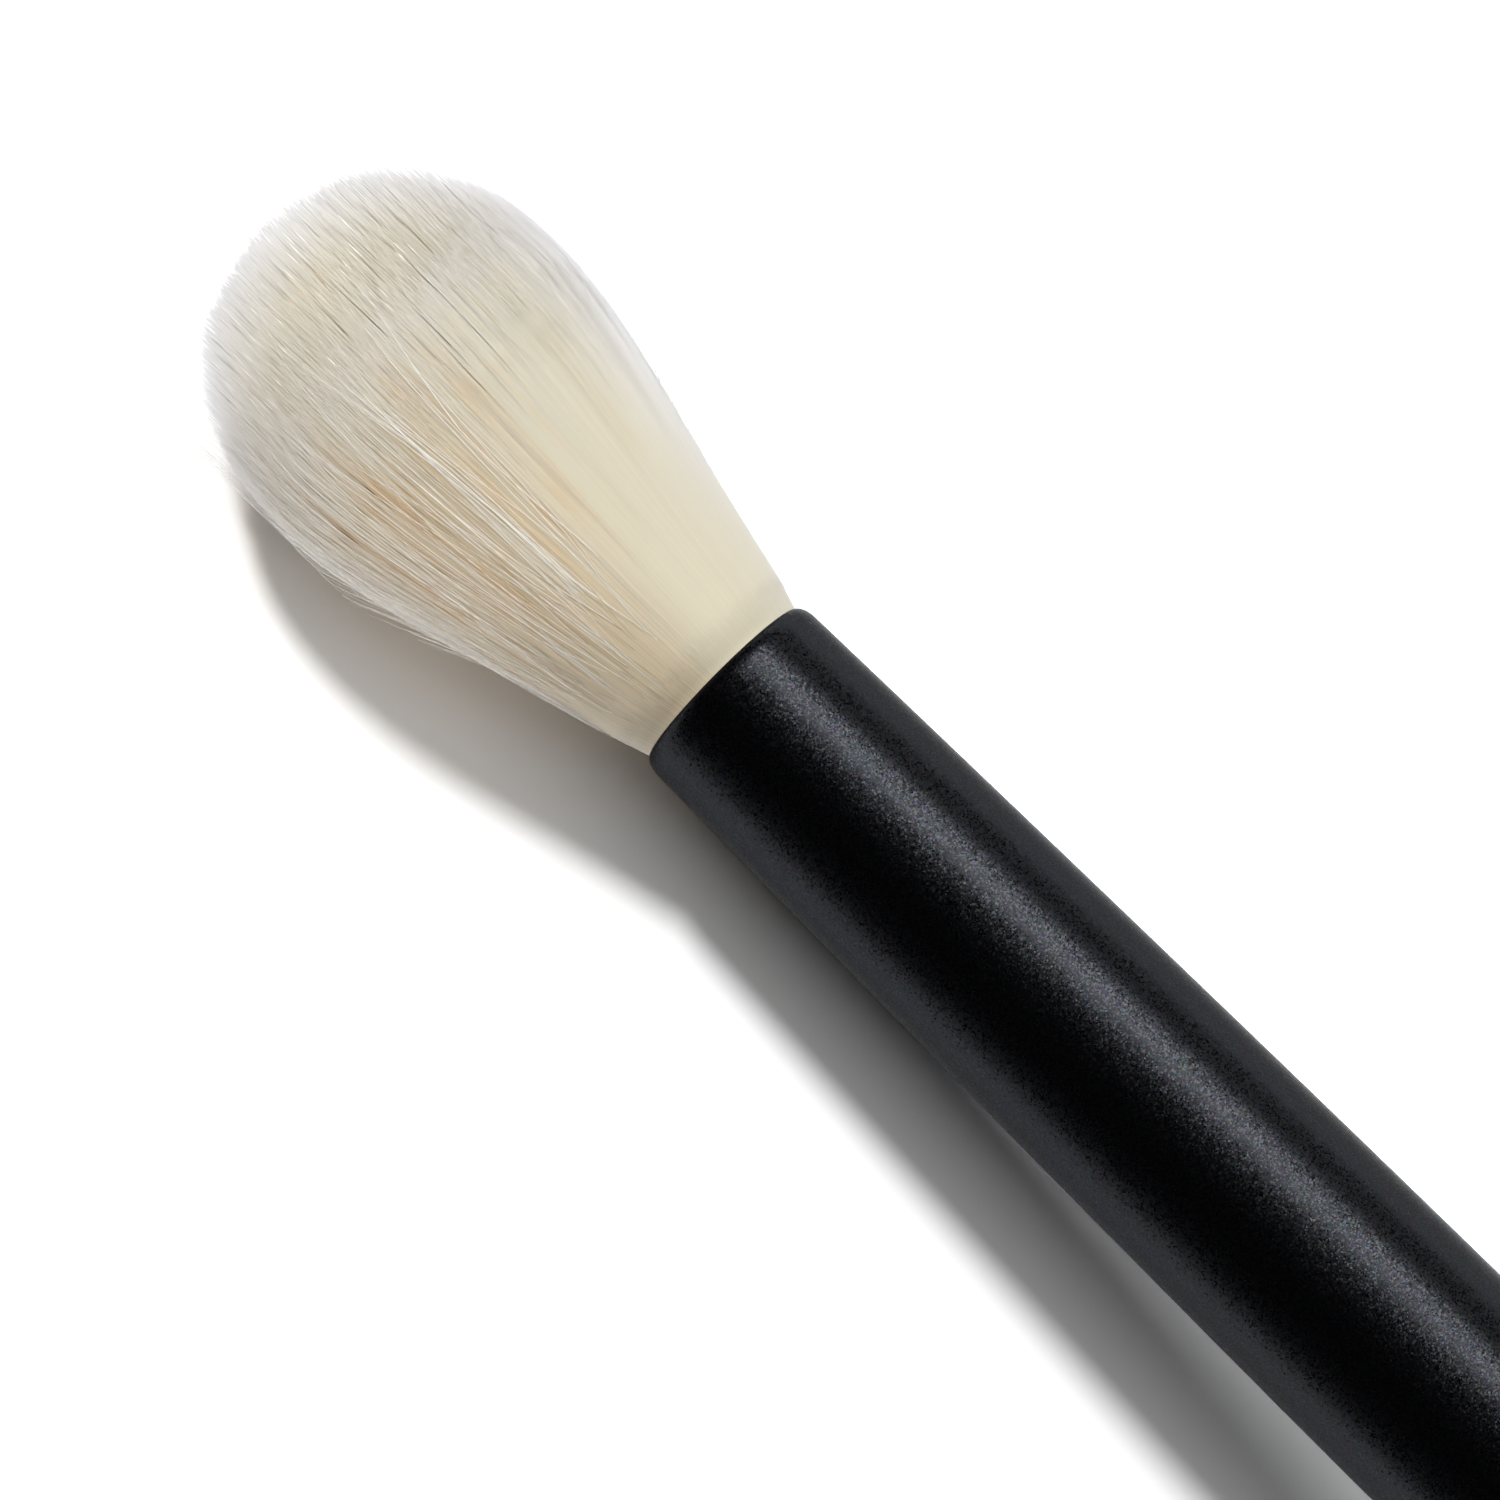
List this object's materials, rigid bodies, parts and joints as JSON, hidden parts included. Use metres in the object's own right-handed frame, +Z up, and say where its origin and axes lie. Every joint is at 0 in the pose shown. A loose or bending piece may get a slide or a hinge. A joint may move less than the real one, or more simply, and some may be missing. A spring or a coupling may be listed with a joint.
{
  "type": "eyeshadow brush",
  "caption": "Make-up blending brush with a soft domed tuft of pale goat hair, a long tapered matt black ferrule and a slim matt black wooden handle",
  "frame": {"origin": "on the brush's axis, half way along the straight band at the back of the ferrule", "axes": "+X runs along the axis towards the butt of the handle and the tuft points to -X; +Z is up when the brush lies on a table"},
  "size_m": [0.1703, 0.0148, 0.0147],
  "materials": {
    "goat_hair": "soft undyed goat hair, cream white, with finer whiter tips",
    "root_glue": "hair roots set in amber epoxy",
    "thread": "waxed white binding thread",
    "black_aluminium": "drawn aluminium with a matt black coat that has a fine sparkling grain",
    "adhesive": "clear yellowish epoxy",
    "black_lacquered_wood": "turned beech under matt black lacquer that matches the ferrule"
  },
  "bodies": {
    "root": {"hair_tuft": "goat_hair", "root_plug": "root_glue", "binding_thread": "thread", "ferrule": "black_aluminium", "tenon_adhesive": "adhesive", "handle": "black_lacquered_wood"}
  },
  "joints": []
}
